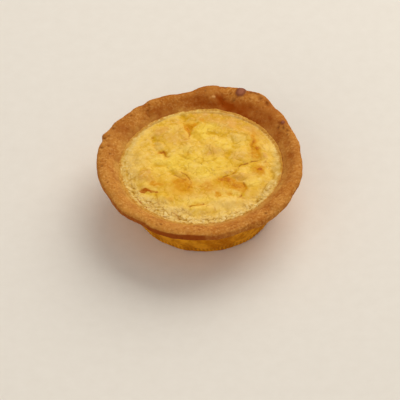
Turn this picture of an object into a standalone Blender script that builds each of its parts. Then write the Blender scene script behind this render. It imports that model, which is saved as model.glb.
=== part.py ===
"""Portuguese custard tart: a hand-pressed shortcrust case with a wide flared rim, and its baked custard.

The tart stands on its flat foot. The origin is the centre of that foot, +Z is up, and -Y is the side seen in
front. Lengths are in metres. Angles are in degrees, from +X towards +Y.
"""

import math

import bmesh
import bpy
import numpy as np

# Pastry case: radii and heights of the turned section, before the dough's unevenness.
FOOT_RADIUS = 0.0306
FOOT_EDGE_ROUND = 0.0016
WALL_TOP_RADIUS = 0.0372
WALL_TOP_HEIGHT = 0.0198
FLARE_ROUND = 0.0060
RIM_RADIUS = 0.0454
RIM_UNDERSIDE_HEIGHT = 0.0221
RIM_EDGE_HEIGHT = 0.0250
RIM_EDGE_ROUND = 0.0014
CREST_RADIUS = 0.0416
CREST_HEIGHT = 0.0259
CREST_ROUND = 0.0050
MOUTH_RADIUS = 0.0349
MOUTH_HEIGHT = 0.0221
MOUTH_ROUND = 0.0008
FLOOR_RADIUS = 0.0282
FLOOR_HEIGHT = 0.0036
FLOOR_ROUND = 0.0030

# The case's mesh: steps round the axis, pieces in each rounded corner, and rows of points on the straights.
CASE_STEPS = 144
CORNER_PIECES = 3
ROW_SPACING = 0.004
MOST_ROWS = 3
MERGE_DISTANCE = 0.00001

# The baked tart leans a little: its mouth lies this far to one side of its foot.
LEAN = -0.0011

# How far the rim and the mouth stray from a circle: (lobes round the tart, reach, direction of a lobe).
RIM_WAVES = ((1, 0.0005, 72), (2, 0.0008, 77), (3, 0.0009, 64), (4, 0.0009, 68))
# Bulges and hollows in the rim's outline: (direction, width in degrees, reach).
RIM_BULGES = (
    (20, 9, 0.0012),
    (40, 9, 0.0012),
    (58, 8, 0.0025),
    (75, 8, 0.0012),
    (100, 9, -0.0015),
    (131, 8, 0.0008),
    (148, 8, 0.0008),
    (157, 3, 0.0009),
    (198, 13, 0.0006),
    (222, 9, 0.0009),
    (234, 5, -0.0011),
    (297, 9, -0.0017),
    (314, 8, -0.0010),
    (335, 11, -0.0016),
)
MOUTH_WAVES = ((2, 0.0005, 28), (3, 0.0003, 20))
# How far the rim rises and dips: (lobes, rise, direction of a high point).
RIM_LIFTS = ((2, 0.0004, 85), (3, 0.0003, 100), (5, 0.0002, 50))

# Where the thumb pressed the dough round, one edge of the rim overlaps the next:
# (direction, turn from the mouth to the outer edge, step up, degrees that it runs out over).
RIM_FOLDS = (
    (126, -3, 0.0006, 16),
    (93, 0, 0.0004, 9),
    (78, 6, -0.0005, 10),
    (208, 0, 0.0004, 16),
    (318, 0, -0.0005, 18),
)
FOLD_WIDTH = 1.6
# Dents and swellings on the rim: (direction, radius from the axis, width, height).
RIM_KNOBS = (
    (73, 0.0385, 0.0022, -0.0012),
    (85, 0.0388, 0.0018, 0.0007),
    (69, 0.0441, 0.0017, 0.0006),
    (32, 0.0425, 0.0019, 0.0005),
    (152, 0.0440, 0.0026, -0.0006),
    (226, 0.0430, 0.0040, 0.0005),
    (296, 0.0425, 0.0034, -0.0006),
    (345, 0.0420, 0.0030, -0.0004),
)

# Set custard.
CUSTARD_GAP = 0.00035
CUSTARD_CELLS = 43
CUSTARD_DOME = 0.0010
CUSTARD_DOME_RADIUS = 0.0305
CUSTARD_DOME_FALL = 0.0040
CUSTARD_EDGE_CURL = 0.0004
CUSTARD_EDGE_WIDTH = 0.0011
# A lump is flat over the first share of its outline and has died away at the second.
LUMP_FLAT = 0.25
LUMP_REACH = 1.25
# Swollen lumps of curd: (x, y, half length, half width, turn, height).
LUMPS = (
    (0.0059, 0.0113, 0.0050, 0.0042, 20, 0.0009),
    (0.0157, 0.0067, 0.0044, 0.0034, 10, 0.0007),
    (-0.0144, 0.0212, 0.0090, 0.0062, 25, 0.0008),
    (-0.0228, -0.0061, 0.0052, 0.0040, -10, 0.0010),
    (-0.0074, -0.0053, 0.0044, 0.0018, -12, 0.0008),
    (0.0171, -0.0065, 0.0046, 0.0026, -10, 0.0009),
    (0.0003, 0.0005, 0.0090, 0.0050, 5, 0.0006),
    (-0.0049, 0.0125, 0.0042, 0.0036, 30, 0.0007),
    (-0.0170, -0.0197, 0.0040, 0.0026, -20, 0.0006),
    (0.0119, -0.0222, 0.0085, 0.0032, 4, 0.0008),
    (0.0295, -0.0120, 0.0068, 0.0020, 62, 0.0008),
    (-0.0030, 0.0302, 0.0040, 0.0026, 0, 0.0006),
    (0.0161, 0.0185, 0.0052, 0.0036, 15, 0.0007),
    (0.0093, 0.0275, 0.0062, 0.0032, -10, 0.0006),
    (0.0275, 0.0100, 0.0030, 0.0060, -30, 0.0006),
    (-0.0262, 0.0060, 0.0036, 0.0060, 10, 0.0006),
    (-0.0017, -0.0255, 0.0070, 0.0022, -4, 0.0005),
)
# Creases in the skin: (depth, points along it).
CREASE_HALF_WIDTH = 0.0016
CREASES = (
    (0.0008, ((-0.0075, 0.0316), (-0.0077, 0.0265), (-0.0053, 0.0233), (-0.0047, 0.0190))),
    (0.0006, ((-0.0053, 0.0233), (-0.0021, 0.0270))),
    (0.0007, ((-0.0211, 0.0171), (-0.0192, 0.0094), (-0.0167, 0.0084), (-0.0147, 0.0052))),
    (0.0006, ((0.0258, 0.0033), (0.0214, 0.0020), (0.0159, -0.0002), (0.0149, -0.0043), (0.0093, -0.0068))),
    (0.0005, ((-0.0047, -0.0250), (-0.0021, -0.0243), (0.0033, -0.0228))),
    (0.0005, ((-0.0322, 0.0011), (-0.0315, -0.0044), (-0.0304, -0.0103), (-0.0286, -0.0160))),
    (0.0007, ((0.0304, -0.0013), (0.0300, -0.0065), (0.0272, -0.0117), (0.0261, -0.0150), (0.0233, -0.0216))),
    (0.0005, ((-0.0079, -0.0046), (-0.0047, -0.0068), (-0.0034, -0.0093))),
    (0.0006, ((-0.0239, -0.0157), (-0.0205, -0.0168), (-0.0157, -0.0225), (-0.0097, -0.0242))),
    (0.0005, ((0.0188, -0.0117), (0.0193, -0.0154), (0.0180, -0.0191), (0.0163, -0.0209))),
    (0.0005, ((0.0128, 0.0177), (0.0143, 0.0126), (0.0111, 0.0070))),
    (0.0005, ((0.0043, 0.0204), (0.0071, 0.0195), (0.0088, 0.0172))),
    (0.0005, ((-0.0123, -0.0053), (-0.0152, -0.0002), (-0.0197, -0.0002))),
)

SHARP_ANGLE = math.radians(50)
PASTRY_COLOUR = (0.46, 0.20, 0.055, 1.0)
CUSTARD_COLOUR = (0.80, 0.50, 0.09, 1.0)


def clear_scene():
    """Removes every object of the startup scene."""
    for obj in list(bpy.data.objects):
        bpy.data.objects.remove(obj, do_unlink=True)


def baked_material(name, colour, roughness):
    material = bpy.data.materials.new(name)
    material.use_nodes = True
    shader = material.node_tree.nodes["Principled BSDF"]
    shader.inputs["Base Color"].default_value = colour
    shader.inputs["Roughness"].default_value = roughness
    shader.inputs["Metallic"].default_value = 0.0
    return material


def smooth_step(x, low, high):
    """0 below low, 1 above high, and an S curve between them."""
    t = np.clip((x - low) / (high - low), 0.0, 1.0)
    return t * t * (3.0 - 2.0 * t)


def waves(angle, lobes):
    """Sum of reach * cos(count * (angle - direction)), for lobes of (count, reach, direction)."""
    return sum(reach * np.cos(count * (angle - math.radians(way))) for count, reach, way in lobes)


def bulges(angle):
    """Sum of reach * exp(-(turn / width)^2) over the rim's bulges and hollows."""
    return sum(reach * np.exp(-((turn_from(angle, way) / width) ** 2)) for way, width, reach in RIM_BULGES)


def turn_from(angle, direction):
    """Signed degrees from a direction to an angle in radians, between -180 and 180."""
    return (np.degrees(angle) - direction + 180.0) % 360.0 - 180.0


def fold_steps(angle, out_on_rim):
    """A step that dies away on both sides: step * tanh(-turn / width) * exp(-(turn / run-out)^2)."""
    total = np.zeros_like(angle)
    for direction, slant, step, run_out in RIM_FOLDS:
        turn = turn_from(angle, direction + slant * (out_on_rim - 0.5))
        total += step * np.tanh(-turn / FOLD_WIDTH) * np.exp(-((turn / run_out) ** 2))
    return total


def rim_knobs(x, y):
    """Rounded dents and swellings: height * exp(-(distance / width)^2)."""
    total = np.zeros_like(x)
    for direction, radius, width, height in RIM_KNOBS:
        away = math.radians(direction)
        distance2 = (x - radius * math.cos(away)) ** 2 + (y - radius * math.sin(away)) ** 2
        total += height * np.exp(-distance2 / width**2)
    return total


def uneven(x, y, z):
    """Moves the points of the perfectly turned tart to where the baked dough went."""
    radius = np.hypot(x, y)
    angle = np.arctan2(y, x)
    out_on_rim = np.clip((radius - MOUTH_RADIUS) / (RIM_RADIUS - MOUTH_RADIUS), 0.0, 1.0)
    up_the_wall = smooth_step(z, 0.0, MOUTH_HEIGHT)
    outline = waves(angle, RIM_WAVES) + bulges(angle)
    reach = up_the_wall * ((1 - out_on_rim) * waves(angle, MOUTH_WAVES) + out_on_rim * outline)
    lift = out_on_rim * waves(angle, RIM_LIFTS)
    lift += np.sqrt(out_on_rim) * (fold_steps(angle, out_on_rim) + rim_knobs(x, y))
    moved = np.where(radius > 0, (radius + reach) / np.maximum(radius, 1e-9), 1.0)
    return x * moved + LEAN * z / MOUTH_HEIGHT, y * moved, z + lift


def rounded(before, corner, after, radius):
    """Points of the arc of that radius that takes the place of a corner."""
    corner = np.array(corner)
    to_before = np.array(before) - corner
    to_after = np.array(after) - corner
    to_before /= np.linalg.norm(to_before)
    to_after /= np.linalg.norm(to_after)
    half_angle = math.acos(np.clip(to_before @ to_after, -1, 1)) / 2
    inward = (to_before + to_after) / np.linalg.norm(to_before + to_after)
    centre = corner + inward * radius / math.sin(half_angle)
    start = corner + to_before * radius / math.tan(half_angle)
    end = corner + to_after * radius / math.tan(half_angle)
    first = math.atan2(*(start - centre)[::-1])
    sweep = (math.atan2(*(end - centre)[::-1]) - first + math.pi) % (2 * math.pi) - math.pi
    turns = [first + sweep * i / CORNER_PIECES for i in range(CORNER_PIECES + 1)]
    return [tuple(centre + radius * np.array((math.cos(t), math.sin(t)))) for t in turns]


def case_section():
    """The case's half section as (radius, height) points, from the inner floor over the rim to the foot."""
    corners = (
        (0.0, FLOOR_HEIGHT, 0.0),
        (FLOOR_RADIUS, FLOOR_HEIGHT, FLOOR_ROUND),
        (MOUTH_RADIUS, MOUTH_HEIGHT, MOUTH_ROUND),
        (CREST_RADIUS, CREST_HEIGHT, CREST_ROUND),
        (RIM_RADIUS, RIM_EDGE_HEIGHT, RIM_EDGE_ROUND),
        (RIM_RADIUS, RIM_UNDERSIDE_HEIGHT, RIM_EDGE_ROUND),
        (WALL_TOP_RADIUS, WALL_TOP_HEIGHT, FLARE_ROUND),
        (FOOT_RADIUS, 0.0, FOOT_EDGE_ROUND),
        (0.0, 0.0, 0.0),
    )
    points = []
    for before, corner, after in zip((None, *corners), corners, (*corners[1:], None)):
        if before is None or after is None:
            points.append(corner[:2])
        else:
            points.extend(rounded(before[:2], corner[:2], after[:2], corner[2]))
    return points


def with_rows(points):
    """Adds rows of points on the long straight stretches, for the dough's unevenness to move."""
    finer = [points[0]]
    for start, end in zip(points, points[1:]):
        on_axis = start[0] == 0 or end[0] == 0
        rows = 1 if on_axis else max(1, min(MOST_ROWS, round(math.dist(start, end) / ROW_SPACING)))
        for i in range(1, rows + 1):
            finer.append(tuple(a + (b - a) * i / rows for a, b in zip(start, end)))
    return finer


def turned(name, section, steps):
    """A closed mesh: the section, which starts and ends on the axis, turned once round Z."""
    profile = bpy.data.meshes.new(name + "_section")
    edges = [(i, i + 1) for i in range(len(section) - 1)]
    profile.from_pydata([(radius, 0.0, height) for radius, height in section], edges, [])
    guide = bpy.data.objects.new(name + "_section", profile)
    bpy.context.scene.collection.objects.link(guide)
    screw = guide.modifiers.new("Turn", "SCREW")
    screw.steps = screw.render_steps = steps
    screw.use_merge_vertices = True
    screw.merge_threshold = MERGE_DISTANCE
    graph = bpy.context.evaluated_depsgraph_get()
    mesh = bpy.data.meshes.new_from_object(guide.evaluated_get(graph))
    bpy.data.objects.remove(guide, do_unlink=True)
    mesh.name = name
    return mesh


def move_points(mesh, shaper):
    """Runs the mesh's points through a function that takes and gives x, y and z arrays."""
    points = np.empty(len(mesh.vertices) * 3)
    mesh.vertices.foreach_get("co", points)
    x, y, z = shaper(*points.reshape(-1, 3).T)
    mesh.vertices.foreach_set("co", np.column_stack((x, y, z)).ravel())
    mesh.update()


def near_lump(x, y, lump):
    """A swelling of curd: 1 in its middle, falling to 0 outside its oval outline."""
    centre_x, centre_y, half_length, half_width, turn, _ = lump
    cosine, sine = math.cos(math.radians(turn)), math.sin(math.radians(turn))
    along = ((x - centre_x) * cosine + (y - centre_y) * sine) / half_length
    across = ((y - centre_y) * cosine - (x - centre_x) * sine) / half_width
    return 1 - smooth_step(np.hypot(along, across), LUMP_FLAT, LUMP_REACH)


def distance_to_line(x, y, points):
    """Distance from each point of the surface to the nearest stretch of a line through points."""
    nearest = np.full_like(x, np.inf)
    for (x0, y0), (x1, y1) in zip(points, points[1:]):
        run_x, run_y = x1 - x0, y1 - y0
        share = np.clip(((x - x0) * run_x + (y - y0) * run_y) / (run_x**2 + run_y**2), 0, 1)
        nearest = np.minimum(nearest, np.hypot(x - x0 - share * run_x, y - y0 - share * run_y))
    return nearest


def custard_height(x, y):
    """Height of the custard's skin over the foot, for points of the turned tart."""
    radius = np.hypot(x, y)
    off_dome = smooth_step(radius, CUSTARD_DOME_RADIUS - CUSTARD_DOME_FALL, CUSTARD_DOME_RADIUS)
    height = MOUTH_HEIGHT + CUSTARD_DOME * (1 - off_dome)
    height += CUSTARD_EDGE_CURL * smooth_step(radius, MOUTH_RADIUS - CUSTARD_EDGE_WIDTH, MOUTH_RADIUS)
    inside = 1 - smooth_step(radius, MOUTH_RADIUS - 2 * CUSTARD_EDGE_WIDTH, MOUTH_RADIUS)
    for lump in LUMPS:
        height += lump[-1] * near_lump(x, y, lump) * inside
    for depth, points in CREASES:
        height -= depth * np.exp(-((distance_to_line(x, y, points) / CREASE_HALF_WIDTH) ** 2)) * inside
    return height


def disc_of_cells(cells, radius):
    """A flat disc of square cells: each ring of a square grid is pushed out to a circle."""
    disc = bmesh.new()
    bmesh.ops.create_grid(disc, x_segments=cells, y_segments=cells, size=1.0)
    for vert in disc.verts:
        a, b = vert.co.x, vert.co.y
        ring = max(abs(a), abs(b))
        if ring == 0:
            continue
        turn = math.pi / 4 * b / a if abs(a) >= abs(b) else math.pi / 2 - math.pi / 4 * a / b
        ring = math.copysign(ring, a if abs(a) >= abs(b) else b)
        vert.co.x = radius * ring * math.cos(turn)
        vert.co.y = radius * ring * math.sin(turn)
    return disc


def inner_wall_radius(height):
    """Radius of the case's inner wall at a height, along its straight stretch."""
    share = (height - FLOOR_HEIGHT) / (MOUTH_HEIGHT - FLOOR_HEIGHT)
    return FLOOR_RADIUS + share * (MOUTH_RADIUS - FLOOR_RADIUS)


def next_ring(disc, edges, radius, height):
    """Extrudes the edge of the mesh to a circle of that radius and height, and gives the new edge."""
    made = bmesh.ops.extrude_edge_only(disc, edges=edges)["geom"]
    for vert in [item for item in made if isinstance(item, bmesh.types.BMVert)]:
        turn = math.atan2(vert.co.y, vert.co.x)
        vert.co = (radius * math.cos(turn), radius * math.sin(turn), height)
    return [item for item in made if isinstance(item, bmesh.types.BMEdge) and item.is_boundary]


def add_skirt(disc):
    """Carries the disc's edge down along the case's wall and closes it underneath."""
    ring = [edge for edge in disc.edges if edge.is_boundary]
    for height in ((MOUTH_HEIGHT + FLOOR_HEIGHT) / 2, FLOOR_HEIGHT + FLOOR_ROUND):
        ring = next_ring(disc, ring, inner_wall_radius(height) - CUSTARD_GAP, height)
    ring = next_ring(disc, ring, FLOOR_RADIUS - FLOOR_ROUND, FLOOR_HEIGHT + CUSTARD_GAP)
    bmesh.ops.holes_fill(disc, edges=ring, sides=0)
    bmesh.ops.recalc_face_normals(disc, faces=disc.faces)


def custard_mesh():
    disc = disc_of_cells(CUSTARD_CELLS, MOUTH_RADIUS - CUSTARD_GAP)
    for vert in disc.verts:
        vert.co.z = float(custard_height(np.array([vert.co.x]), np.array([vert.co.y]))[0])
    add_skirt(disc)
    mesh = bpy.data.meshes.new("custard")
    disc.to_mesh(mesh)
    disc.free()
    return mesh


def place(name, mesh, material, collection):
    obj = bpy.data.objects.new(name, mesh)
    mesh.materials.append(material)
    mesh.shade_smooth()
    mesh.set_sharp_from_angle(angle=SHARP_ANGLE)
    collection.objects.link(obj)
    return obj


def build():
    clear_scene()
    tart = bpy.data.collections.new("custard_tart")
    bpy.context.scene.collection.children.link(tart)

    case = turned("pastry_case", with_rows(case_section()), CASE_STEPS)
    move_points(case, uneven)
    place("pastry_case", case, baked_material("baked_pastry", PASTRY_COLOUR, 0.75), tart)

    custard = custard_mesh()
    move_points(custard, uneven)
    place("custard", custard, baked_material("baked_custard", CUSTARD_COLOUR, 0.5), tart)


build()
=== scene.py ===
"""Looks of a baked custard tart: the hand-pressed shortcrust case, and the browned custard set in it.

Lengths are in metres, +Z is up and -Y is the front. Directions are in degrees, from +X towards +Y.
"""

import math

import bpy
import numpy as np
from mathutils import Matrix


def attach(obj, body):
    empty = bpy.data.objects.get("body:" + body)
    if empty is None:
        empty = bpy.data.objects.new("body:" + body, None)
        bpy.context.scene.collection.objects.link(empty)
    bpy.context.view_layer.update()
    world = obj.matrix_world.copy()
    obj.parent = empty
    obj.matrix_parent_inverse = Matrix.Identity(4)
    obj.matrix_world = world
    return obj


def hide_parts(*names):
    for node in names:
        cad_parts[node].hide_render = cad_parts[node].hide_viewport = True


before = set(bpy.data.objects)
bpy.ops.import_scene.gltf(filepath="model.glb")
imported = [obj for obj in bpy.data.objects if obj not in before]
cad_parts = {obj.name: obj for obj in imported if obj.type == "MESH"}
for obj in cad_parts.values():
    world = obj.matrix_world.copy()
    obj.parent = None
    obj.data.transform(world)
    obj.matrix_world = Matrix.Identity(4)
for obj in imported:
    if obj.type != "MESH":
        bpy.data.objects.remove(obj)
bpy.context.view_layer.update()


# Pastry case.
# A disc of shortcrust dough, pressed by thumb into a round tin and out over its lip, so its rim is wavy.
# It baked matte and tan, with two scorched blisters, and is painted browner on its back wall and along the
# rolled edge, partly as browning and partly as painted shade. The gold of its outer wall is partly painted
# bounce light.

FOOT_RADIUS = 0.0306
FOOT_EDGE_ROUND = 0.0016
WALL_TOP_RADIUS = 0.0372
WALL_TOP_HEIGHT = 0.0198
FLARE_ROUND = 0.0060
RIM_RADIUS = 0.0454
RIM_UNDERSIDE_HEIGHT = 0.0221
RIM_EDGE_HEIGHT = 0.0250
RIM_EDGE_ROUND = 0.0014
CREST_RADIUS = 0.0416
CREST_HEIGHT = 0.0259
CREST_ROUND = 0.0050
MOUTH_RADIUS = 0.0349
MOUTH_HEIGHT = 0.0221
MOUTH_ROUND = 0.0008
FLOOR_RADIUS = 0.0282
FLOOR_HEIGHT = 0.0036
FLOOR_ROUND = 0.0030
CORNER_PIECES = 14
LEAN = -0.0011

# The rim's outline: (lobes round the tart, reach, direction of a lobe).
RIM_WAVES = ((1, 0.0005, 72), (2, 0.0008, 77), (3, 0.0009, 64), (4, 0.0009, 68))
# Its bulges and hollows: (direction, width, reach).
RIM_BULGES = (
    (20, 9, 0.0012),
    (40, 9, 0.0012),
    (58, 8, 0.0025),
    (75, 8, 0.0012),
    (100, 9, -0.0015),
    (131, 8, 0.0008),
    (148, 8, 0.0008),
    (157, 3, 0.0009),
    (198, 13, 0.0006),
    (222, 9, 0.0009),
    (234, 5, -0.0011),
    (297, 9, -0.0017),
    (314, 8, -0.0010),
    (335, 11, -0.0016),
)
# The mouth's outline, and the rise and fall of the rim, in lobes as above.
MOUTH_WAVES = ((2, 0.0005, 28), (3, 0.0003, 20))
RIM_LIFTS = ((2, 0.0004, 85), (3, 0.0003, 100), (5, 0.0002, 50))
# Laps in the rim: (direction, turn from the mouth to the outer edge, step up, degrees that it runs out over).
RIM_FOLDS = (
    (126, -3, 0.0006, 16),
    (93, 0, 0.0004, 9),
    (78, 6, -0.0005, 10),
    (208, 0, 0.0004, 16),
    (318, 0, -0.0005, 18),
)
FOLD_WIDTH = 1.6
# Dents and swellings of the rim: (direction, radius, width, height).
RIM_KNOBS = (
    (73, 0.0385, 0.0022, -0.0012),
    (85, 0.0388, 0.0018, 0.0007),
    (69, 0.0441, 0.0017, 0.0006),
    (32, 0.0425, 0.0019, 0.0005),
    (152, 0.0440, 0.0026, -0.0006),
    (226, 0.0430, 0.0040, 0.0005),
    (296, 0.0425, 0.0034, -0.0006),
    (345, 0.0420, 0.0030, -0.0004),
)

# Points round the case, and the lengths between its points along the section.
CASE_TURNS = 660
HIDDEN_STEP = 0.0040
SHOWN_STEP = 0.00037
FOOT_STEP = 0.0030
# How far up the inner wall the custard hides it.
SHOWN_WALL = 0.8


def smooth_step(x, low, high):
    """0 below low, 1 above high, and an S curve between them."""
    t = np.clip((x - low) / (high - low), 0.0, 1.0)
    return t * t * (3.0 - 2.0 * t)


def waves(angle, lobes):
    """Sum of reach * cos(count * (angle - direction)), for lobes of (count, reach, direction)."""
    return sum(reach * np.cos(count * (angle - math.radians(way))) for count, reach, way in lobes)


def bell(distance, width):
    """1 at no distance, falling off on both sides: exp(-(distance / width)^2)."""
    return np.exp(-((distance / width) ** 2))


def turn_from(angle, direction):
    """Signed degrees from a direction to an angle in radians, between -180 and 180."""
    return (np.degrees(angle) - direction + 180.0) % 360.0 - 180.0


def near_direction(angle, direction, width):
    """1 in that direction, falling off to its sides: exp(-(turn / width)^2)."""
    return bell(turn_from(angle, direction), width)


def swells(angle, places):
    """Sum of reach * exp(-(turn / width)^2) over places round the tart, each (direction, width, reach)."""
    return sum(reach * near_direction(angle, way, width) for way, width, reach in places)


def fold_turns(angle, out):
    """Degrees from each lap, which slants as it runs out over the rim."""
    return [turn_from(angle, way + slant * (out - 0.5)) for way, slant, _, _ in RIM_FOLDS]


def fold_steps(angle, out):
    """A step that dies away on both sides: step * tanh(-turn / width) * exp(-(turn / run-out)^2)."""
    steps = 0
    for turn, (_, _, step, run_out) in zip(fold_turns(angle, out), RIM_FOLDS):
        steps = steps + step * np.tanh(-turn / FOLD_WIDTH) * bell(turn, run_out)
    return steps


def near_spot(x, y, direction, radius, width):
    """1 at a spot given by its direction and radius, falling off around it: exp(-(distance / width)^2)."""
    away = math.radians(direction)
    return bell(np.hypot(x - radius * math.cos(away), y - radius * math.sin(away)), width)


def spots(x, y, places):
    """Sum of height * exp(-(distance / width)^2) over spots, each (direction, radius, width, height)."""
    return sum(height * near_spot(x, y, way, radius, width) for way, radius, width, height in places)


def out_on_rim(radius):
    """0 at the custard's edge of the rim, 1 at its outer edge."""
    return np.clip((radius - MOUTH_RADIUS) / (RIM_RADIUS - MOUTH_RADIUS), 0.0, 1.0)


def uneven(x, y, z):
    """Moves the points of the perfectly turned tart to where the baked dough went."""
    radius = np.hypot(x, y)
    angle = np.arctan2(y, x)
    out = out_on_rim(radius)
    outline = waves(angle, RIM_WAVES) + swells(angle, RIM_BULGES)
    reach = smooth_step(z, 0.0, MOUTH_HEIGHT) * ((1 - out) * waves(angle, MOUTH_WAVES) + out * outline)
    lift = out * waves(angle, RIM_LIFTS) + np.sqrt(out) * (fold_steps(angle, out) + spots(x, y, RIM_KNOBS))
    moved = np.where(radius > 0, (radius + reach) / np.maximum(radius, 1e-9), 1.0)
    return x * moved + LEAN * z / MOUTH_HEIGHT, y * moved, z + lift


def rounded(before, corner, after, radius):
    """Points of the arc of that radius that takes the place of a corner."""
    corner = np.array(corner)
    to_before = np.array(before) - corner
    to_after = np.array(after) - corner
    to_before /= np.linalg.norm(to_before)
    to_after /= np.linalg.norm(to_after)
    half_angle = math.acos(np.clip(to_before @ to_after, -1, 1)) / 2
    inward = (to_before + to_after) / np.linalg.norm(to_before + to_after)
    centre = corner + inward * radius / math.sin(half_angle)
    start = corner + to_before * radius / math.tan(half_angle) - centre
    end = corner + to_after * radius / math.tan(half_angle) - centre
    first = math.atan2(start[1], start[0])
    sweep = (math.atan2(end[1], end[0]) - first + math.pi) % (2 * math.pi) - math.pi
    turns = first + sweep * np.linspace(0, 1, CORNER_PIECES + 1)
    return centre + radius * np.stack((np.cos(turns), np.sin(turns)), -1)


def case_section():
    """The case's half section from the inner floor's centre over the rim to the foot's centre.

    It gives three arrays for points stepped along the rounded outline: length along it, radius and height.
    """
    corners = (
        (0.0, FLOOR_HEIGHT, 0.0),
        (FLOOR_RADIUS, FLOOR_HEIGHT, FLOOR_ROUND),
        (MOUTH_RADIUS, MOUTH_HEIGHT, MOUTH_ROUND),
        (CREST_RADIUS, CREST_HEIGHT, CREST_ROUND),
        (RIM_RADIUS, RIM_EDGE_HEIGHT, RIM_EDGE_ROUND),
        (RIM_RADIUS, RIM_UNDERSIDE_HEIGHT, RIM_EDGE_ROUND),
        (WALL_TOP_RADIUS, WALL_TOP_HEIGHT, FLARE_ROUND),
        (FOOT_RADIUS, 0.0, FOOT_EDGE_ROUND),
        (0.0, 0.0, 0.0),
    )
    arcs = [rounded(a[:2], b[:2], c[:2], b[2]) for a, b, c in zip(corners, corners[1:], corners[2:])]
    outline = np.concatenate(([corners[0][:2]], *arcs, [corners[-1][:2]]))
    lengths = np.concatenate(([0.0], np.cumsum(np.hypot(*np.diff(outline, axis=0).T))))
    wall_from, wall_to = lengths[1 + CORNER_PIECES], lengths[2 + CORNER_PIECES]
    shown_from = wall_from + SHOWN_WALL * (wall_to - wall_from)
    foot_from = lengths[-2]
    stretches = (
        (0.0, shown_from, HIDDEN_STEP),
        (shown_from, foot_from, SHOWN_STEP),
        (foot_from, lengths[-1], FOOT_STEP),
    )
    steps = [np.linspace(a, b, math.ceil((b - a) / step), endpoint=False) for a, b, step in stretches]
    along = np.append(np.concatenate(steps), lengths[-1])
    return along, np.interp(along, lengths, outline[:, 0]), np.interp(along, lengths, outline[:, 1])


def noise(points, size, seed):
    """Smooth noise of about -1 to 1 on an array of points.

    Each corner of a lattice of that size has a random slope, and those round a point are blended by S curves.
    """
    random = np.random.default_rng(seed)
    shuffled = np.tile(random.permutation(256), 4)
    slopes = random.normal(size=(256, 3))
    slopes /= np.linalg.norm(slopes, axis=1, keepdims=True)
    scaled = points / size
    base = np.floor(scaled).astype(int)
    part = scaled - base
    blend = part**3 * (part * (part * 6 - 15) + 10)
    total = np.zeros(len(points))
    for corner in np.ndindex(2, 2, 2):
        at = (base + corner) & 255
        slope = slopes[shuffled[shuffled[shuffled[at[:, 0]] + at[:, 1]] + at[:, 2]]]
        share = np.prod(np.where(corner, blend, 1 - blend), axis=1)
        total += share * np.sum(slope * (part - corner), axis=1)
    return total * 1.6


def layered_noise(points, size, seed, layers=3):
    """Noise of that size, plus half as much of half the size, and so on."""
    return sum(noise(points, size / 2**i, seed + i) / 2**i for i in range(layers))


def turned_surface(radii, heights, turns):
    """Points (radius * cos, radius * sin, height) of a section turned round the axis, from pole to pole."""
    angle = np.linspace(0, 2 * math.pi, turns, endpoint=False)
    rings = np.stack(
        (
            radii[1:-1, None] * np.cos(angle),
            radii[1:-1, None] * np.sin(angle),
            np.broadcast_to(heights[1:-1, None], (len(radii) - 2, turns)),
        ),
        -1,
    ).reshape(-1, 3)
    return np.concatenate(([(0, 0, heights[0])], rings, [(0, 0, heights[-1])]))


def turned_faces(rings, turns):
    """Faces of a turned surface, wound so that a section run over the top and down the outside faces out."""
    here = np.arange(turns)
    after = (here + 1) % turns
    ring = 1 + turns * np.arange(rings - 1)[:, None]
    quads = np.stack((ring + here, ring + turns + here, ring + turns + after, ring + after), -1)
    last = 1 + turns * (rings - 1)
    caps = np.concatenate(
        (
            np.stack((np.zeros_like(here), 1 + here, 1 + after), -1),
            np.stack((np.full_like(here, last + turns), last + after, last + here), -1),
        )
    )
    return quads.reshape(-1, 4).tolist() + caps.tolist()


def distance_to_line(x, y, points):
    """Distance from each point of the surface to the nearest stretch of a line through points."""
    nearest = np.full_like(x, np.inf)
    for (x0, y0), (x1, y1) in zip(points, points[1:]):
        run_x, run_y = x1 - x0, y1 - y0
        share = np.clip(((x - x0) * run_x + (y - y0) * run_y) / (run_x**2 + run_y**2), 0, 1)
        nearest = np.minimum(nearest, np.hypot(x - x0 - share * run_x, y - y0 - share * run_y))
    return nearest


def smooth_mesh(name, points, faces):
    """A mesh of those points and faces that shades as one rounded skin."""
    mesh = bpy.data.meshes.new(name)
    mesh.from_pydata(points.tolist(), [], faces)
    mesh.shade_smooth()
    return mesh


def pushed_in(mesh, depth):
    """Moves each point of the mesh by its depth against the surface's normal."""
    points = np.empty(len(mesh.vertices) * 3)
    normals = np.empty(len(mesh.vertices) * 3)
    mesh.vertices.foreach_get("co", points)
    mesh.vertex_normals.foreach_get("vector", normals)
    points -= normals * np.repeat(depth, 3)
    mesh.vertices.foreach_set("co", points)
    mesh.update()


def paint(mesh, amounts):
    """Keeps amounts of 0 to 1 for each point of the mesh, by name, for its material to read."""
    for name, values in amounts.items():
        kept = mesh.attributes.new(name, "FLOAT", "POINT")
        kept.data.foreach_set("value", np.clip(values, 0, 1).astype(np.float32))


def tone(red, green, blue):
    """A colour as the eye reads it, each part out of 255, turned into the light that it sends back."""
    parts = np.array((red, green, blue)) / 255
    light = np.where(parts <= 0.04045, parts / 12.92, ((parts + 0.055) / 1.055) ** 2.4)
    return (*(float(part) for part in light), 1.0)


class Amount:
    """A number that varies over a surface. Arithmetic on it adds Math nodes to its material."""

    def __init__(self, tree, socket):
        self.tree = tree
        self.socket = socket

    def worked(self, operation, *terms):
        node = self.tree.nodes.new("ShaderNodeMath")
        node.operation = operation
        for slot, term in zip(node.inputs, terms):
            if isinstance(term, Amount):
                self.tree.links.new(term.socket, slot)
            else:
                slot.default_value = term
        return Amount(self.tree, node.outputs[0])

    def __add__(self, other):
        return self.worked("ADD", self, other)

    __radd__ = __add__

    def __mul__(self, other):
        return self.worked("MULTIPLY", self, other)

    __rmul__ = __mul__


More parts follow.
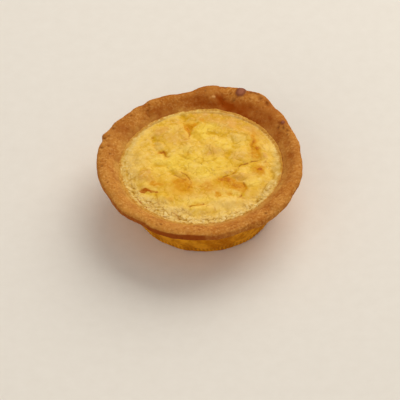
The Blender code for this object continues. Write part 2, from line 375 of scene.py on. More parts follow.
class Finish:
    """A material put together round one Principled shader."""

    def __init__(self, name, **fixed):
        self.material = bpy.data.materials.new(name)
        self.material.use_nodes = True
        self.tree = self.material.node_tree
        self.shader = self.tree.nodes["Principled BSDF"]
        for socket, value in fixed.items():
            self.shader.inputs[socket.replace("_", " ")].default_value = value

    def node(self, kind, settings, sockets, output=0):
        """Adds a node, with its settings first and then its sockets, and gives one of its outputs."""
        made = self.tree.nodes.new(kind)
        for setting, value in settings.items():
            setattr(made, setting, value)
        self.feed(made, sockets)
        result = made.outputs[output]
        return Amount(self.tree, result) if result.type == "VALUE" else result

    def feed(self, node, sockets):
        """Sets or links sockets of a node."""
        for socket, value in sockets.items():
            if isinstance(value, Amount):
                value = value.socket
            if isinstance(value, bpy.types.NodeSocket):
                self.tree.links.new(value, node.inputs[socket])
            else:
                node.inputs[socket].default_value = value

    def painted(self, name):
        """A number that the mesh keeps."""
        return self.node("ShaderNodeAttribute", {"attribute_name": name}, {}, "Fac")

    def grain(self, size, detail, roughness):
        """Noise of 0 to 1 whose blots are about that size."""
        place = self.node("ShaderNodeTexCoord", {}, {}, "Object")
        sockets = {"Vector": place, "Scale": 0.7 / size, "Detail": detail, "Roughness": roughness}
        return self.node("ShaderNodeTexNoise", {}, sockets)

    def ramped(self, value, low, high, to_low=0.0, to_high=1.0):
        """An S curve from to_low at low to to_high at high."""
        sockets = {"Value": value, "From Min": low, "From Max": high, "To Min": to_low, "To Max": to_high}
        return self.node("ShaderNodeMapRange", {"interpolation_type": "SMOOTHSTEP"}, sockets)

    def mixed(self, factor, first, second):
        """The first colour where the factor is 0, the second where it is 1."""
        settings = {"data_type": "RGBA", "blend_type": "MIX", "clamp_factor": True}
        return self.node("ShaderNodeMix", settings, {0: factor, 6: first, 7: second}, 2)

    def coated(self, colour, *coats):
        """The colour with coats over it in turn, each (how much it covers, then its red, green and blue)."""
        for cover, *shade in coats:
            colour = self.mixed(cover, colour, tone(*shade))
        return colour

    def bumped(self, height, strength, distance):
        """The surface's normal, tilted by that height."""
        return self.node("ShaderNodeBump", {}, {"Strength": strength, "Distance": distance, "Height": height})


def put_in_scene(name, data):
    """An object at the origin that shows the mesh, lamp or camera."""
    made = bpy.data.objects.new(name, data)
    bpy.context.scene.collection.objects.link(made)
    return made


along, radii, heights = case_section()
turned_points = turned_surface(radii, heights, CASE_TURNS)
turned_x, turned_y = turned_points[:, 0], turned_points[:, 1]
case_angle = np.arctan2(turned_y, turned_x)
case_along = np.concatenate(([along[0]], np.repeat(along[1:-1], CASE_TURNS), [along[-1]]))
case_points = np.stack(uneven(*turned_points.T), -1)
case_height = case_points[:, 2]
case_mesh = smooth_mesh("shortcrust_case", case_points, turned_faces(len(along) - 2, CASE_TURNS))

# Where the parts of the section start, as length along it.
ROLL_BEFORE_EDGE = 0.0012
WALL_AFTER_EDGE = 0.0055
crest_along = along[np.argmax(heights)]
edge_along = along[np.argmax(radii)]
mouth_along = crest_along - math.hypot(CREST_RADIUS - MOUTH_RADIUS, CREST_HEIGHT - MOUTH_HEIGHT)
roll_along = edge_along - ROLL_BEFORE_EDGE
wall_along = edge_along + WALL_AFTER_EDGE

# How much each point belongs to a part, 0 to 1: outer wall, rolled edge, inner slope, top, and off the mouth.
on_wall = smooth_step(case_along, wall_along, wall_along + 0.0030)
roll_noise = 0.00040 * layered_noise(case_points, 0.0060, 81, 2)
roll_start = roll_along + roll_noise - 0.0006 * near_direction(case_angle, 266, 16)
rolled = smooth_step(case_along, roll_start - 0.0003, roll_start + 0.0005) * (1 - on_wall)
slope = 1 - smooth_step(case_along, crest_along - 0.0032, crest_along - 0.0002)
on_top = 1 - smooth_step(case_along, edge_along, edge_along + 0.0010)
off_mouth = smooth_step(case_along, mouth_along + 0.0004, mouth_along + 0.0024)

# Scorched blisters and pinholes: (direction, radius, width).
SCORCHES = ((67.6, 0.0431, 0.0019), (33.8, 0.0424, 0.0010))
PINHOLES = (
    (56, 0.0432, 0.0008),
    (51, 0.0436, 0.0009),
    (61, 0.0444, 0.0008),
    (63, 0.0442, 0.0007),
    (59, 0.0440, 0.0006),
    (77, 0.0444, 0.0008),
    (70, 0.0398, 0.0007),
    (30, 0.0413, 0.0008),
    (27, 0.0423, 0.0008),
    (33, 0.0396, 0.0007),
    (35, 0.0412, 0.0007),
    (73, 0.0418, 0.0005),
    (151, 0.0432, 0.0006),
    (158, 0.0425, 0.0006),
    (160, 0.0444, 0.0006),
    (166, 0.0412, 0.0005),
    (168, 0.0436, 0.0006),
    (172, 0.0398, 0.0005),
    (183, 0.0432, 0.0006),
    (137, 0.0420, 0.0005),
    (24, 0.0412, 0.0006),
    (198, 0.0425, 0.0005),
    (312, 0.0425, 0.0007),
    (246, 0.0416, 0.0005),
)
# Stray crumbs: (direction, half width in degrees, height up the inner slope from the mouth, half height).
CRUMBS = ((82.2, 1.5, 0.0046, 0.0006), (262, 0.8, 0.0060, 0.0004))
# Nicks in the outer edge where each thumb press ended: (direction, width in degrees).
NICKS = (
    (95, 2.4),
    (104, 2.0),
    (114, 2.2),
    (125, 1.8),
    (134, 2.2),
    (141, 1.6),
    (149, 2.0),
    (162, 2.0),
    (21, 2.4),
    (46, 2.0),
)
# Upright marks that the tin left round the foot, and the pitch of the faint ridges across the wall.
TIN_MARKS = 114
RIDGE_PITCH = 0.00035
# Depths of the dough's own relief below the turned form. What stands up has a depth below 0.
SKIN_DEPTH = 0.00008
PRESS_DEPTH = 0.00026
LUMP_DEPTH = 0.00014
GRAIN_DEPTH = 0.00005
PORE_DEPTH = 0.00016
PINHOLE_DEPTH = 0.00026
BLISTER_DEPTH = -0.00050
CRUMB_DEPTH = -0.00020
NICK_DEPTH = 0.00030
LAP_DEPTH = 0.00050
MARK_DEPTH = 0.00036
RIDGE_DEPTH = 0.00005
UNDERCUT_DEPTH = 0.00022
FLAT_FOOT_DEPTH = 0.00002

pressed = noise(case_points, 0.0085, 3)
lumpy = layered_noise(case_points, 0.0034, 11)
grainy = layered_noise(case_points, 0.0011, 23, 2)
pores = smooth_step(noise(case_points, 0.0013, 31), 0.46, 0.75) * (1 - on_wall)
warp = 0.0005 * noise(case_points, 0.0018, 51)
spot_x, spot_y = turned_x + warp, turned_y - warp
scorch = sum(near_spot(spot_x, spot_y, *spot) for spot in SCORCHES) * on_top
blister = smooth_step(scorch, 0.22, 0.50)
blister_border = bell(scorch - 0.48, 0.20)
pinhole = sum(near_spot(spot_x, spot_y, *spot) for spot in PINHOLES) * on_top
up_slope = case_along - mouth_along
crumb = sum(
    near_direction(case_angle, way, width) * bell(up_slope - up, high) for way, width, up, high in CRUMBS
)
crumb = smooth_step(crumb, 0.35, 0.8)
nick = sum(near_direction(case_angle, way, width) for way, width in NICKS)
nick = nick * smooth_step(case_along, crest_along, edge_along) * (1 - on_wall)
marks = 0.5 - 0.5 * np.cos(TIN_MARKS * case_angle + 1.5 * noise(case_points, 0.009, 41))
marks = marks * smooth_step(case_height, 0.0003, 0.0010) * (1 - smooth_step(case_height, 0.0020, 0.0046))
ridges = 0.5 + 0.5 * np.sin(case_height / RIDGE_PITCH + 2.5 * noise(case_points, 0.005, 43))
wavering = 0.05 * noise(case_points, 0.004, 5)
out_on_case = out_on_rim(np.hypot(turned_x, turned_y))
turns_from_folds = fold_turns(case_angle + wavering, out_on_case)
laps = bell(turns_from_folds[0], 0.7) + 0.5 * bell(turns_from_folds[1], 0.6) + bell(turns_from_folds[2], 0.7)
laps = laps * smooth_step(out_on_case, 0.08, 0.4) * (1 - rolled)
undercut = bell(case_along - roll_along, 0.0005)
depth = SKIN_DEPTH + off_mouth * (PRESS_DEPTH * pressed + LUMP_DEPTH * lumpy)
depth = depth + GRAIN_DEPTH * grainy + PORE_DEPTH * pores + PINHOLE_DEPTH * pinhole
depth = depth + BLISTER_DEPTH * blister + CRUMB_DEPTH * crumb + NICK_DEPTH * nick + LAP_DEPTH * laps
depth = depth + MARK_DEPTH * marks + RIDGE_DEPTH * ridges * on_wall + UNDERCUT_DEPTH * undercut * on_top
on_foot = 1 - smooth_step(case_height, 0.00002, 0.0006)
pushed_in(case_mesh, np.maximum(depth, FLAT_FOOT_DEPTH) * on_foot + depth * (1 - on_foot))

# A painted shadow: the dark streak that runs down beside the lap at the back, as points (x, y).
LAP_SHADOW_STREAK = ((0.0070, 0.0394), (0.0097, 0.0369), (0.0128, 0.0350))
# Spots of the rim painted darker or paler: where it baked browner or stayed paler, with painted shade on the
# inner slope and a painted highlight on the crest near 75 degrees: (direction, radius, width, how much
# darker).
SPOTS_OF_BROWNING_SHADE_AND_HIGHLIGHT = (
    (149, 0.0395, 0.0044, 0.34),
    (75, 0.0427, 0.0024, -0.38),
    (69, 0.0400, 0.0030, -0.20),
    (45, 0.0425, 0.0028, 0.34),
    (262, 0.0418, 0.0022, 0.14),
    (60, 0.0405, 0.0032, -0.24),
    (45, 0.0385, 0.0026, -0.14),
    (5, 0.0405, 0.0034, 0.20),
    (346, 0.0405, 0.0030, 0.12),
    (20, 0.0395, 0.0030, 0.12),
    (32, 0.0370, 0.0034, 0.22),
    (236, 0.0394, 0.0042, -0.14),
    (197, 0.0398, 0.0042, -0.14),
    (209, 0.0432, 0.0040, -0.28),
    (285, 0.0385, 0.0036, 0.16),
    (91, 0.0372, 0.0030, 0.28),
    (121, 0.0368, 0.0034, 0.26),
    (126, 0.0378, 0.0020, -0.16),
    (8, 0.0418, 0.0030, 0.20),
    (0, 0.0408, 0.0026, 0.18),
    (53, 0.0444, 0.0022, 0.12),
    (50, 0.0371, 0.0024, -0.08),
    (321, 0.0417, 0.0030, -0.10),
    (258, 0.0428, 0.0020, 0.16),
    (270, 0.0425, 0.0020, 0.14),
    (107, 0.0394, 0.0034, -0.22),
    (119, 0.0402, 0.0034, -0.16),
)
# Where the inner slope and the rolled edge in front are painted darker, partly browning and partly painted
# shade on the sides turned from the light: (direction, width, strength).
BACK_BROWNING_AND_SHADE = ((68, 38, 1.0), (104, 18, 0.22), (8, 26, 0.12))
MOUTH_BROWNING_AND_SHADE = ((58, 22, 0.24), (120, 12, 0.26))
FRONT_BROWNING_AND_SHADE = ((255, 24, 1.0), (286, 16, 0.08), (215, 20, 0.35))

# Browning and painted shade: darkest on the back of the inner slope, which faces away from the light, then on
# its right side, and on the rolled edge in front, which is partly painted shade under the lip.
back_browning_and_shade = np.clip(swells(case_angle, BACK_BROWNING_AND_SHADE), 0, 1)
# A painted highlight: the crest near 76 degrees is kept paler, where the light catches it.
by_crest = smooth_step(case_along, crest_along - 0.0040, crest_along - 0.0010)
back_browning_and_shade = back_browning_and_shade * (1 - 0.45 * near_direction(case_angle, 76, 7) * by_crest)
mouth_shade = 1 - smooth_step(case_along, mouth_along + 0.0010, crest_along - 0.0008)
toast_and_shade = slope * (0.12 + 0.58 * back_browning_and_shade + swells(case_angle, MOUTH_BROWNING_AND_SHADE) * mouth_shade)
lap_shadow_streak = bell(distance_to_line(turned_x, turned_y, LAP_SHADOW_STREAK), 0.0013)
toast_and_shade = toast_and_shade + 0.38 * lap_shadow_streak * slope
back_line = 1 - smooth_step(case_along, mouth_along + 0.0006, mouth_along + 0.0022)
back_line = back_line * near_direction(case_angle, 97, 22)
toast_and_shade = toast_and_shade * (1 - 0.5 * back_line)
# The rim's top is painted darker towards the back, partly browning and partly painted shade.
toast_and_shade = toast_and_shade + (1 - slope) * (1 - rolled) * (0.05 + 0.34 * near_direction(case_angle, 85, 62))
toast_and_shade = toast_and_shade + spots(turned_x, turned_y, SPOTS_OF_BROWNING_SHADE_AND_HIGHLIGHT)
toast_and_shade = toast_and_shade + 0.22 * layered_noise(case_points, 0.006, 61) * (0.4 + slope)
# Painted shadow beside the laps, on the side of each turned from the light, and painted shade in their
# grooves.
lap_shadow = 0.4 * bell(turns_from_folds[0] + 3.0, 3.6) + 0.3 * bell(turns_from_folds[2] + 2.5, 3.4)
toast_and_shade = toast_and_shade + (lap_shadow * (0.14 + 0.22 * slope) + 0.14 * laps) * (1 - rolled)
# The rolled edge in front: browned, and painted darker as the shade under the lip; orange streaks on the
# rim's top.
roll_toast_and_shade = 0.16 + 1.1 * swells(case_angle, FRONT_BROWNING_AND_SHADE) + 0.34 * layered_noise(case_points, 0.003, 71)
streaks = noise(np.stack((case_angle * 4.5, case_along * 900, case_along * 0), -1), 1.0, 73)
streaked = smooth_step(streaks, 0.25, 0.65) * near_direction(case_angle, 290, 28)
roll_toast_and_shade = rolled * roll_toast_and_shade + 0.45 * on_top * (1 - slope) * streaked
stain = 1 - smooth_step(case_along, mouth_along + 0.0008, mouth_along + 0.0034)
stain = stain * (1 - 0.9 * near_direction(case_angle, 75, 65)) * (0.6 + 0.5 * lumpy)
front_stain = 0.3 * near_direction(case_angle, 224, 36) * (1 - rolled)
stain = stain + (0.2 * back_line + front_stain) * (0.8 + 0.4 * lumpy)
blush_way, blush_radius, blush_width = SCORCHES[1]
paint(
    case_mesh,
    {
        "toast_and_shade": toast_and_shade,
        "roll_toast_and_shade": roll_toast_and_shade,
        "scorch": 0.85 * blister,
        "scorch_border": blister_border,
        "blush": near_spot(spot_x, spot_y, blush_way, blush_radius, 2.2 * blush_width),
        "pit": np.maximum(pinhole, 0.5 * pores),
        "crumb": crumb,
        "wall": on_wall,
        "stain": stain * on_top,
        "mark": marks,
        "freckled": near_direction(case_angle, 268, 62),
        "low": 0.5 + 0.35 * lumpy + 0.25 * grainy,
    },
)

baked = Finish("baked_shortcrust", Roughness=0.8, Specular_IOR_Level=0.05)
fine = baked.grain(0.0007, 3.0, 0.6)
blotch = baked.grain(0.0040, 3.0, 0.6)
freckle = baked.grain(0.0013, 2.0, 0.7)
crust = baked.coated(
    baked.mixed(baked.ramped(blotch, 0.36, 0.66), tone(200, 134, 56), tone(184, 114, 40)),
    (baked.ramped(fine, 0.45, 0.70) * 0.7, 224, 164, 88),
    # Painted shade: the dough's dips, where its relief is pushed in deepest, are painted darker.
    (baked.ramped(baked.painted("low"), 0.5, 0.85) * 0.40, 160, 86, 26),
    (baked.ramped(freckle, 0.54, 0.70) * (0.32 + 0.24 * baked.painted("freckled")), 150, 78, 20),
)
# The outer wall: golden ochre, its strong gold partly painted bounce light, the warm glow of a gold plate
# beneath.
golden_wall_and_bounce = baked.coated(
    baked.mixed(baked.ramped(blotch, 0.38, 0.62), tone(234, 160, 32), tone(190, 112, 4)),
    (baked.ramped(fine, 0.45, 0.75) * 0.4, 224, 164, 58),
    (baked.painted("mark") * 0.6, 160, 90, 4),
)
colour = baked.coated(
    baked.mixed(baked.painted("wall"), crust, golden_wall_and_bounce),
    (baked.painted("stain") * 0.75, 208, 158, 74),
    # Browning with painted shade on the back and right of the inner slope and in the laps.
    (baked.painted("toast_and_shade") * (0.9 + 0.3 * blotch), 142, 60, 0),
    # The rolled edge's browning, with its painted shade under the lip.
    (baked.painted("roll_toast_and_shade") * (0.75 + 0.3 * fine), 138, 56, 6),
    (baked.painted("blush") * 0.55, 160, 76, 28),
    (baked.painted("scorch") * (0.7 + 0.5 * fine), 146, 88, 70),
    (baked.painted("scorch_border") * (0.3 + 0.5 * fine), 98, 44, 26),
    (baked.painted("pit") * 0.8, 110, 50, 4),
    (baked.painted("crumb") * 0.8, 222, 164, 96),
)
bump = baked.bumped(fine, 0.5, 0.00022)
baked.feed(baked.shader, {"Base Color": colour, "Normal": bump, "Roughness": 0.72 + 0.2 * blotch})
case_mesh.materials.append(baked.material)
case = put_in_scene("shortcrust_case", case_mesh)
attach(case, "root")
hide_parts("pastry_case")


# Custard.
# Egg custard poured into the raw case and baked with it until it set, swelled, cracked and sank into lumps.
# Its skin is browned on the high spots, with a dry cream ring beside the case. It is painted deeper yellow in
# the creases, partly its own colour and partly painted shade, with painted shadow of the case along its back
# edge and a painted highlight on its front plateau.

# Squares from the middle of the skin's grid to its border.
CUSTARD_CELLS = 150
# The film that climbs the case: how far past the mouth it can reach, and how far it rises from the crust.
FILM_REACH = 0.0024
FILM_DEPTH = 0.0009
CUSTARD_DOME = 0.0010
CUSTARD_DOME_RADIUS = 0.0305
CUSTARD_DOME_FALL = 0.0040
CUSTARD_EDGE_CURL = 0.0004
CUSTARD_EDGE_WIDTH = 0.0011
LUMP_FLAT = 0.25
LUMP_REACH = 1.25
# Swollen lumps of curd: (x, y, half length, half width, turn, height).
LUMPS = (
    (0.0059, 0.0113, 0.0050, 0.0042, 20, 0.0009),
    (0.0157, 0.0067, 0.0044, 0.0034, 10, 0.0007),
    (-0.0144, 0.0212, 0.0090, 0.0062, 25, 0.0008),
    (-0.0228, -0.0061, 0.0052, 0.0040, -10, 0.0010),
    (-0.0074, -0.0053, 0.0044, 0.0018, -12, 0.0008),
    (0.0171, -0.0065, 0.0046, 0.0026, -10, 0.0009),
    (0.0003, 0.0005, 0.0090, 0.0050, 5, 0.0006),
    (-0.0049, 0.0125, 0.0042, 0.0036, 30, 0.0007),
    (-0.0170, -0.0197, 0.0040, 0.0026, -20, 0.0006),
    (0.0119, -0.0222, 0.0085, 0.0032, 4, 0.0008),
    (0.0295, -0.0120, 0.0068, 0.0020, 62, 0.0008),
    (-0.0030, 0.0302, 0.0040, 0.0026, 0, 0.0006),
    (0.0161, 0.0185, 0.0052, 0.0036, 15, 0.0007),
    (0.0093, 0.0275, 0.0062, 0.0032, -10, 0.0006),
    (0.0275, 0.0100, 0.0030, 0.0060, -30, 0.0006),
    (-0.0262, 0.0060, 0.0036, 0.0060, 10, 0.0006),
    (-0.0017, -0.0255, 0.0070, 0.0022, -4, 0.0005),
)
# Creases in the skin: (depth, points along it).
CREASE_HALF_WIDTH = 0.0016
CREASES = (
    (0.0008, ((-0.0075, 0.0316), (-0.0077, 0.0265), (-0.0053, 0.0233), (-0.0047, 0.0190))),
    (0.0006, ((-0.0053, 0.0233), (-0.0021, 0.0270))),
    (0.0007, ((-0.0211, 0.0171), (-0.0192, 0.0094), (-0.0167, 0.0084), (-0.0147, 0.0052))),
    (0.0006, ((0.0258, 0.0033), (0.0214, 0.0020), (0.0159, -0.0002), (0.0149, -0.0043), (0.0093, -0.0068))),
    (0.0005, ((-0.0047, -0.0250), (-0.0021, -0.0243), (0.0033, -0.0228))),
    (0.0005, ((-0.0322, 0.0011), (-0.0315, -0.0044), (-0.0304, -0.0103), (-0.0286, -0.0160))),
    (0.0007, ((0.0304, -0.0013), (0.0300, -0.0065), (0.0272, -0.0117), (0.0261, -0.0150), (0.0233, -0.0216))),
    (0.0005, ((-0.0079, -0.0046), (-0.0047, -0.0068), (-0.0034, -0.0093))),
    (0.0006, ((-0.0239, -0.0157), (-0.0205, -0.0168), (-0.0157, -0.0225), (-0.0097, -0.0242))),
    (0.0005, ((0.0188, -0.0117), (0.0193, -0.0154), (0.0180, -0.0191), (0.0163, -0.0209))),
    (0.0005, ((0.0128, 0.0177), (0.0143, 0.0126), (0.0111, 0.0070))),
    (0.0005, ((0.0043, 0.0204), (0.0071, 0.0195), (0.0088, 0.0172))),
    (0.0005, ((-0.0123, -0.0053), (-0.0152, -0.0002), (-0.0197, -0.0002))),
)
# Fine cracks in the skin, browned at their lips: (half width, strength, points along it).
CRACKS = (
    (0.00045, 0.5, ((-0.0074, 0.0318), (-0.0078, 0.0282), (-0.0074, 0.0251))),
    (0.00040, 0.7, ((-0.0056, 0.0220), (-0.0056, 0.0177))),
    (0.00036, 0.9, ((-0.0200, 0.0110), (-0.0192, 0.0091), (-0.0174, 0.0082), (-0.0165, 0.0091))),
    (0.00036, 0.9, ((-0.0165, 0.0091), (-0.0157, 0.0067), (-0.0139, 0.0054))),
    (0.00030, 1.0, ((0.0250, 0.0036), (0.0215, 0.0024), (0.0185, 0.0011), (0.0158, -0.0007))),
    (0.00030, 1.0, ((0.0158, -0.0007), (0.0145, -0.0038), (0.0123, -0.0062), (0.0088, -0.0074))),
    (0.00030, 0.9, ((-0.0082, -0.0044), (-0.0060, -0.0056), (-0.0047, -0.0081))),
    (0.00030, 0.9, ((-0.0047, -0.0081), (-0.0043, -0.0111), (-0.0056, -0.0142))),
    (0.00032, 0.9, ((0.0189, -0.0105), (0.0193, -0.0148), (0.0172, -0.0197), (0.0163, -0.0209))),
    (0.00030, 0.45, ((-0.0192, -0.0173), (-0.0187, -0.0203), (-0.0179, -0.0234), (-0.0161, -0.0240))),
    (0.00036, 1.0, ((-0.0047, -0.0252), (-0.0021, -0.0243), (0.0010, -0.0234))),
    (0.00040, 1.0, ((-0.0297, -0.0209), (-0.0279, -0.0240), (-0.0262, -0.0258), (-0.0222, -0.0274))),
    (0.00040, 0.9, ((-0.0275, -0.0197), (-0.0257, -0.0222), (-0.0235, -0.0246), (-0.0218, -0.0252))),
    (0.00035, 0.8, ((-0.0165, -0.0301), (-0.0135, -0.0314))),
    (0.00030, 0.6, ((-0.0126, -0.0277), (-0.0104, -0.0295), (-0.0091, -0.0320))),
    (0.00030, 0.6, ((-0.0065, -0.0277), (-0.0047, -0.0292))),
    (0.00050, 0.9, ((0.0032, -0.0347), (0.0067, -0.0350))),
    (0.00035, 0.8, ((0.0093, -0.0332), (0.0115, -0.0323))),
    (0.00035, 0.6, ((0.0281, 0.0042), (0.0272, 0.0018))),
    (0.00032, 0.9, ((0.0080, -0.0088), (0.0093, -0.0072), (0.0110, -0.0062))),
    (0.00032, 0.9, ((0.0110, -0.0062), (0.0134, -0.0056), (0.0152, -0.0040))),
    (0.00030, 0.6, ((-0.0117, -0.0062), (-0.0087, -0.0074), (-0.0065, -0.0090))),
    (0.00030, 0.6, ((0.0224, 0.0180), (0.0218, 0.0134), (0.0213, 0.0085), (0.0215, 0.0050))),
    (0.00030, 0.5, ((0.0023, -0.0252), (0.0049, -0.0246), (0.0062, -0.0274))),
    (0.00028, 0.5, ((0.0006, -0.0292), (0.0041, -0.0281), (0.0075, -0.0295))),
    (0.00028, 0.5, ((0.0110, -0.0277), (0.0141, -0.0270), (0.0163, -0.0289))),
    (0.00030, 0.4, ((-0.0072, 0.0168), (-0.0056, 0.0174), (-0.0047, 0.0166))),
)
# Furrows between the lumps, dull yellow at the bottom: (half width, strength, points along it).
FURROWS = (
    (0.0005, 0.5, ((0.0106, 0.0318), (0.0115, 0.0251), (0.0123, 0.0183), (0.0145, 0.0116))),
    (0.0005, 0.25, ((0.0163, 0.0186), (0.0211, 0.0180))),
    (0.0005, 0.6, ((-0.0130, 0.0288), (-0.0113, 0.0263), (-0.0095, 0.0232))),
    (0.0005, 0.9, ((-0.0327, 0.0042), (-0.0327, 0.0005), (-0.0323, -0.0038))),
    (0.0005, 0.9, ((-0.0323, -0.0038), (-0.0314, -0.0093), (-0.0301, -0.0136), (-0.0292, -0.0166))),
    (0.0004, 0.8, ((-0.0310, -0.0081), (-0.0297, -0.0117), (-0.0288, -0.0154))),
    (0.0005, 0.8, ((-0.0281, -0.0087), (-0.0281, -0.0065), (-0.0262, -0.0044), (-0.0235, -0.0038))),
    (0.0006, 0.9, ((0.0303, -0.0019), (0.0316, -0.0044), (0.0307, -0.0081))),
    (0.0005, 0.8, ((0.0281, -0.0105), (0.0268, -0.0154), (0.0250, -0.0197), (0.0233, -0.0216))),
    (0.0005, 0.7, ((0.0242, 0.0165), (0.0255, 0.0128), (0.0268, 0.0097))),
    (0.0004, 0.6, ((0.0045, 0.0122), (0.0036, 0.0097), (0.0040, 0.0067))),
    (0.0005, 0.6, ((-0.0195, 0.0145), (-0.0200, 0.0105), (-0.0178, 0.0088))),
    (0.0005, 0.5, ((-0.0310, 0.0140), (-0.0322, 0.0090), (-0.0327, 0.0042))),
    (0.0006, 0.5, ((-0.0179, -0.0234), (-0.0183, -0.0280))),
    (0.0005, 0.6, ((0.0128, -0.0050), (0.0160, -0.0055), (0.0185, -0.0090))),
    (0.0004, 0.8, ((-0.0018, 0.0053), (0.0012, 0.0041), (0.0042, 0.0043), (0.0050, 0.0062))),
    (0.0004, 0.7, ((0.0137, 0.0085), (0.0145, 0.0032), (0.0189, 0.0018))),
    (0.0004, 0.7, ((-0.0080, 0.0060), (-0.0065, 0.0040), (-0.0035, 0.0046))),
    (0.0004, 0.7, ((-0.0150, -0.0008), (-0.0125, -0.0032), (-0.0098, -0.0040))),
)


def near_oval(x, y, oval, flat, reach):
    """1 over the middle of an oval of (x, y, half length, half width, turn), and an S curve down to 0."""
    centre_x, centre_y, half_length, half_width, turn = oval
    cosine, sine = math.cos(math.radians(turn)), math.sin(math.radians(turn))
    along_it = ((x - centre_x) * cosine + (y - centre_y) * sine) / half_length
    across = ((y - centre_y) * cosine - (x - centre_x) * sine) / half_width
    return 1 - smooth_step(np.hypot(along_it, across), flat, reach)


def custard_height(x, y):
    """Height of the skin: a flat dome and lumps, less depth * exp(-(distance / width)^2) at each crease."""
    radius = np.hypot(x, y)
    off_dome = smooth_step(radius, CUSTARD_DOME_RADIUS - CUSTARD_DOME_FALL, CUSTARD_DOME_RADIUS)
    height = MOUTH_HEIGHT + CUSTARD_DOME * (1 - off_dome)
    height += CUSTARD_EDGE_CURL * smooth_step(radius, MOUTH_RADIUS - CUSTARD_EDGE_WIDTH, MOUTH_RADIUS)
    inside = 1 - smooth_step(radius, MOUTH_RADIUS - 2 * CUSTARD_EDGE_WIDTH, MOUTH_RADIUS)
    for lump in LUMPS:
        height += lump[-1] * near_oval(x, y, lump[:-1], LUMP_FLAT, LUMP_REACH) * inside
    for depth, points in CREASES:
        height -= depth * bell(distance_to_line(x, y, points), CREASE_HALF_WIDTH) * inside
    return height


# Cells of curd before their pattern repeats, and so the number of scales round the dry ring.
CELLS_ROUND = 64


def curd_cells(across, along, seed):
    """How far each place is inside a cell of curd, 0 on the joint between two, and that cell's own shade.

    Places are counted in cells. One point is strewn in each square, and a joint lies where two are as near.
    """
    random = np.random.default_rng(seed)
    strewn = random.random((CELLS_ROUND, CELLS_ROUND, 2))
    shades = random.random((CELLS_ROUND, CELLS_ROUND))
    column, row = np.floor(across).astype(int), np.floor(along).astype(int)
    gaps, found = [], []
    for step_x, step_y in np.ndindex(3, 3):
        at_x, at_y = column + step_x - 1, row + step_y - 1
        cell = at_x % CELLS_ROUND, at_y % CELLS_ROUND
        spot = strewn[cell]
        gaps.append(np.hypot(across - at_x - spot[:, 0], along - at_y - spot[:, 1]))
        found.append(shades[cell])
    order = np.argsort(gaps, axis=0)
    gaps = np.take_along_axis(np.array(gaps), order, 0)
    return gaps[1] - gaps[0], np.take_along_axis(np.array(found), order, 0)[0]


def disc_points(cells, radius):
    """A square grid whose rings become circles: turn = pi/4 * b/a where |a| >= |b|, or the reverse."""
    steps = np.linspace(-1, 1, 2 * cells + 1)
    a, b = (part.ravel() for part in np.meshgrid(steps, steps))
    wide = np.abs(a) >= np.abs(b)
    ring = np.where(wide, a, b)
    safe = np.where(ring == 0, 1, ring)
    turn = np.where(wide, math.pi / 4 * b / safe, math.pi / 2 - math.pi / 4 * a / safe)
    return radius * ring * np.cos(turn), radius * ring * np.sin(turn)


def disc_faces(cells):
    """Quads of the square grid, facing up."""
    across = 2 * cells + 1
    start = (np.arange(across - 1)[:, None] * across + np.arange(across - 1)).reshape(-1)
    return np.stack((start, start + 1, start + across + 1, start + across), -1)


def disc_border(cells):
    """Numbers of the grid's border points, once round against the clock."""
    across = 2 * cells + 1
    grid = np.arange(across * across).reshape(across, across)
    return np.concatenate((grid[0, :-1], grid[:-1, -1], grid[-1, :0:-1], grid[:0:-1, 0]))


skin_x, skin_y = disc_points(CUSTARD_CELLS, MOUTH_RADIUS + FILM_REACH)
skin_flat = np.stack((skin_x, skin_y, np.zeros_like(skin_x)), -1)
skin_radius = np.hypot(skin_x, skin_y)
skin_angle = np.arctan2(skin_y, skin_x)
from_edge = MOUTH_RADIUS - skin_radius

# Warped places, so that no patch or crack has a smooth outline.
PATCH_WARP = 0.0011
LINE_WARP = 0.00060
warp_x = layered_noise(skin_flat, 0.0045, 101)
warp_y = layered_noise(skin_flat, 0.0045, 111)
bent_x, bent_y = skin_x + PATCH_WARP * warp_x, skin_y + PATCH_WARP * warp_y
near_x, near_y = skin_x + LINE_WARP * warp_x, skin_y + LINE_WARP * warp_y
soft = layered_noise(skin_flat, 0.0050, 131)
tiny = layered_noise(skin_flat, 0.0012, 141, 2)
mottle = 0.5 + 0.5 * layered_noise(skin_flat, 0.0030, 151)
patchy = smooth_step(layered_noise(skin_flat, 0.0070, 161, 2), -0.15, 0.45)

# The dry ring, wide in front and on the right, and a bare line behind: (direction, width, reach).
RING_LEAST = 0.0011
RING_REACH = ((246, 42, 0.0068), (328, 34, 0.0042), (182, 36, 0.0032), (12, 20, 0.0014), (145, 20, 0.0008))
# Where the ring has dried into scales: (direction, width, strength).
RING_SCALY = ((246, 48, 1.0), (318, 26, 0.7), (185, 25, 0.3))
ring_width = RING_LEAST + swells(skin_angle, RING_REACH)
ring_width = ring_width * (1 + 0.35 * layered_noise(skin_flat, 0.007, 121))
dry = 1 - smooth_step(from_edge, 0.30 * ring_width, 1.35 * ring_width)
crumbly = dry * smooth_step(swells(skin_angle, RING_SCALY), 0.1, 0.8)

